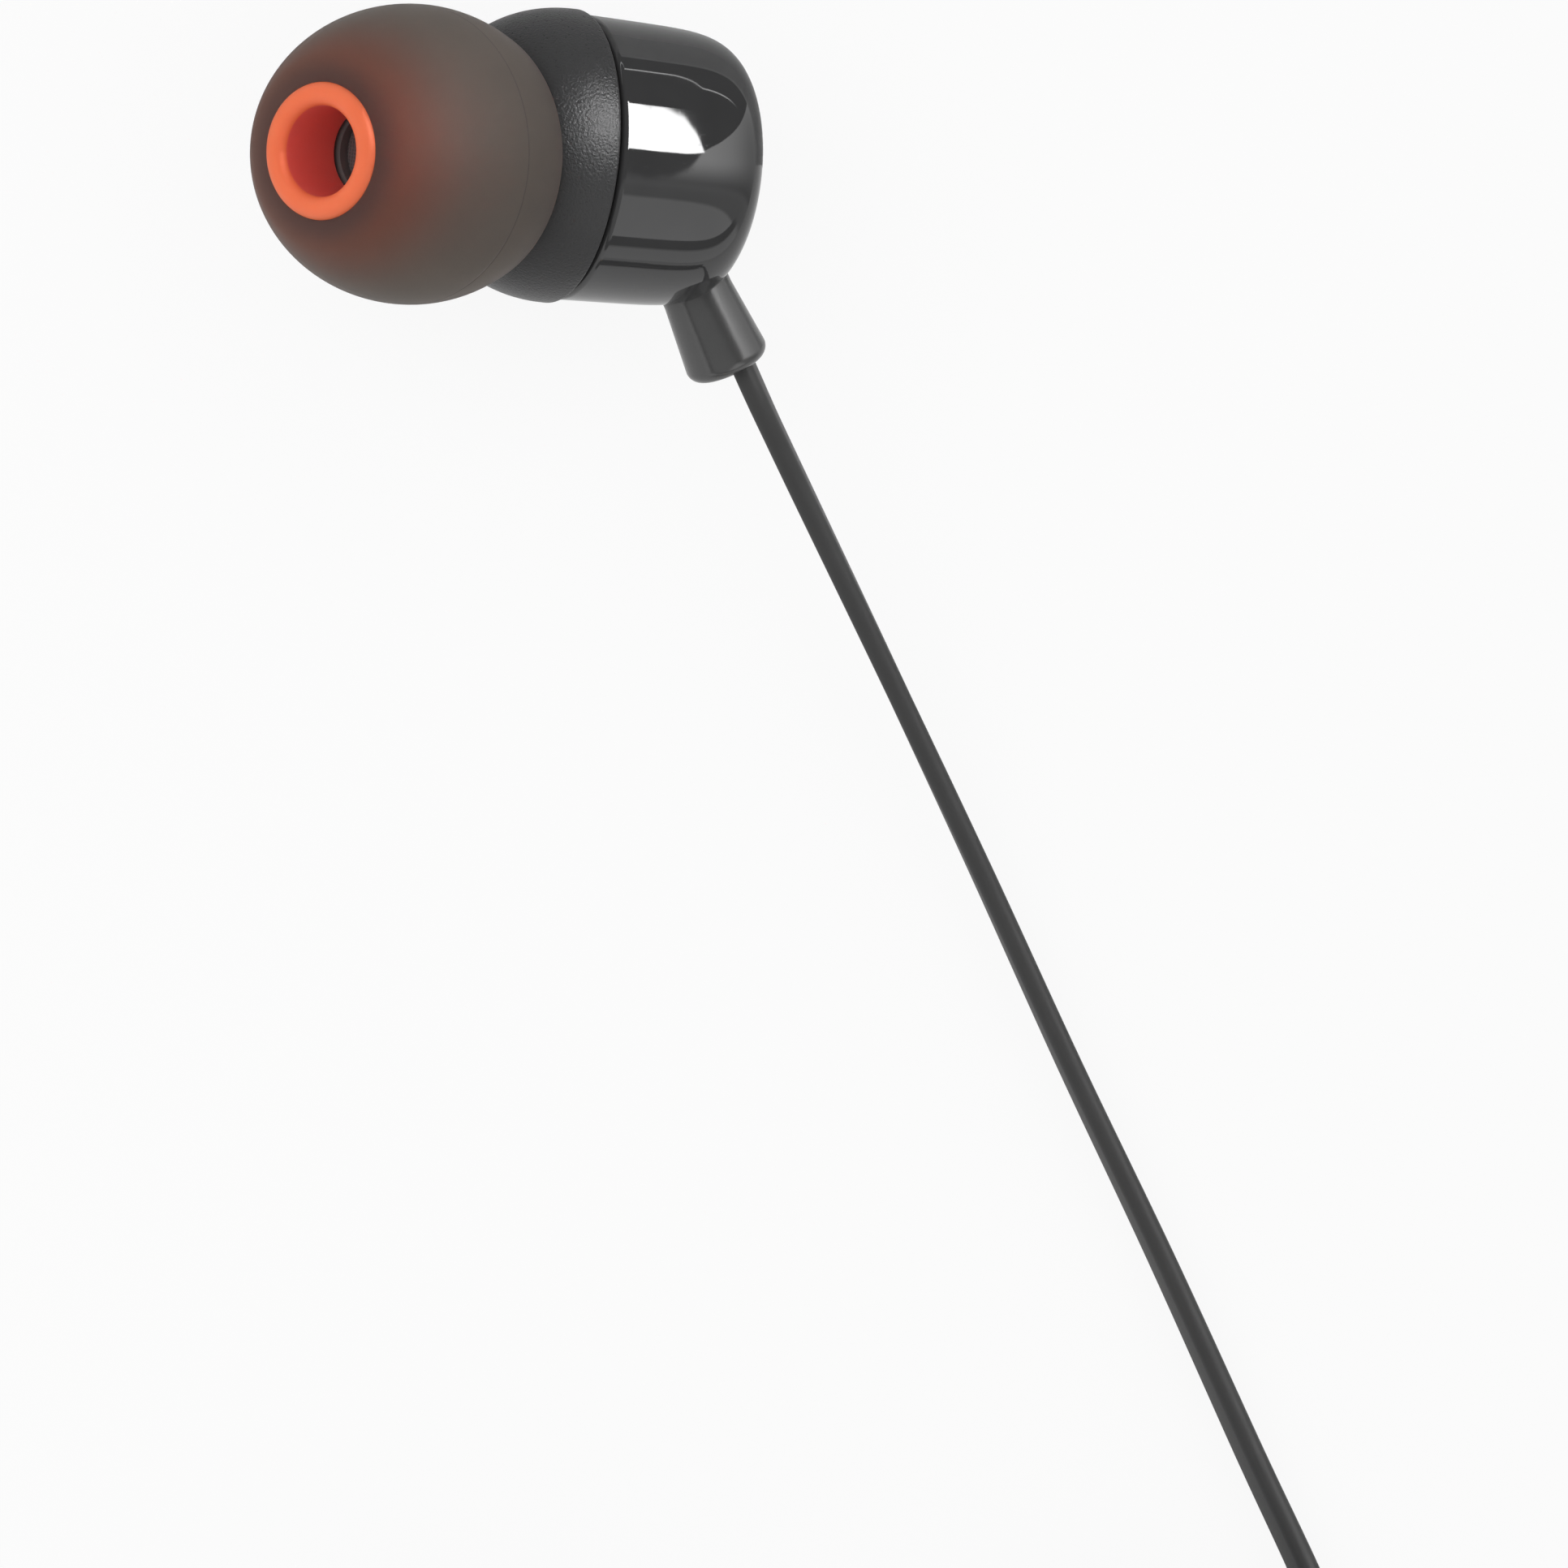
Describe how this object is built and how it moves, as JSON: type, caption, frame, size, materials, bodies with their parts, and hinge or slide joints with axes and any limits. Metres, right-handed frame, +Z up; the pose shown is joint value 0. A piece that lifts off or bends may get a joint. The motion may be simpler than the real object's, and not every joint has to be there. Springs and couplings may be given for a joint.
{
  "type": "wired earphones",
  "caption": "Pair of wired in-ear earphones with angled nozzles and soft two-part tips, on a flat cable with a splitter and a straight stereo plug.",
  "frame": {"origin": "on the surface the pair lies on, below the middle of the box round the two earpieces", "axes": "+Z up from the surface, +Y from the left earpiece to the right one, +X towards the back of the right housing"},
  "size_m": [0.0575, 0.122, 0.0151],
  "materials": {
    "satin_shell": "satin black moulded plastic",
    "gloss_shell": "gloss black moulded plastic",
    "tip_grey": "translucent smoke-grey silicone",
    "tip_orange": "orange silicone",
    "mesh_metal": "dark woven wire",
    "soft_black": "soft black elastomer",
    "cable_black": "satin black cable jacket",
    "steel": "plain steel",
    "magnet_metal": "nickel-plated magnet",
    "copper": "wound copper wire",
    "clear_film": "thin clear polymer film",
    "foam": "thin black foam",
    "paper": "porous paper",
    "board_green": "green solder-masked board",
    "contact_gold": "gold-plated brass",
    "insulator_black": "black insulating plastic"
  },
  "bodies": {
    "root": {"front_shell_right": "satin_shell", "nozzle_mesh_right": "mesh_metal", "rear_shell_right": "gloss_shell", "strain_relief_right": "soft_black", "cable_anchor_right": "steel", "driver_frame_right": "insulator_black", "yoke_cup_right": "steel", "magnet_right": "magnet_metal", "pole_plate_right": "steel", "front_gasket_right": "foam", "damping_paper_right": "paper", "terminal_board_right": "board_green", "front_shell_left": "satin_shell", "nozzle_mesh_left": "mesh_metal", "rear_shell_left": "gloss_shell", "strain_relief_left": "soft_black", "cable_anchor_left": "steel", "driver_frame_left": "insulator_black", "yoke_cup_left": "steel", "magnet_left": "magnet_metal", "pole_plate_left": "steel", "front_gasket_left": "foam", "damping_paper_left": "paper", "terminal_board_left": "board_green", "right_cable_lead": "cable_black", "right_cable_coil": "cable_black", "right_cable_link": "cable_black", "left_cable_lead": "cable_black", "left_cable_coil": "cable_black", "left_cable_link": "cable_black", "trunk_cable_lead": "cable_black", "trunk_cable_coil": "cable_black", "trunk_cable_tail": "cable_black", "right_cable_coil_tie": "soft_black", "left_cable_coil_tie": "soft_black", "trunk_cable_coil_tie": "soft_black", "cable_splitter": "soft_black", "plug_grip": "soft_black", "plug_tail": "soft_black", "plug_sleeve": "contact_gold", "plug_insulator_rear": "insulator_black", "plug_ring": "contact_gold", "plug_insulator_front": "insulator_black", "plug_tip": "contact_gold"},
    "ear_tip_right": {"ear_tip_dome_right": "tip_grey", "ear_tip_core_right": "tip_orange"},
    "ear_tip_left": {"ear_tip_dome_left": "tip_grey", "ear_tip_core_left": "tip_orange"},
    "diaphragm_right": {"diaphragm_right": "clear_film", "voice_coil_right": "copper"},
    "diaphragm_left": {"diaphragm_left": "clear_film", "voice_coil_left": "copper"}
  },
  "joints": [
    {"name": "ear_tip_right_pull", "type": "slide", "parent": "root", "child": "ear_tip_right", "axis": [-0.87, -0.0188, 0.4926], "range_m": [0, 0.006]},
    {"name": "ear_tip_left_pull", "type": "slide", "parent": "root", "child": "ear_tip_left", "axis": [-0.2885, 0.821, 0.4926], "range_m": [0, 0.006]},
    {"name": "diaphragm_right_stroke", "type": "slide", "parent": "root", "child": "diaphragm_right", "axis": [-0.9971, 0.0767, 0], "range_m": [-0.0002, 0.0002], "stiffness_N_per_m": 15},
    {"name": "diaphragm_left_stroke", "type": "slide", "parent": "root", "child": "diaphragm_left", "axis": [-0.4226, 0.9063, 0], "range_m": [-0.0002, 0.0002], "stiffness_N_per_m": 15}
  ]
}
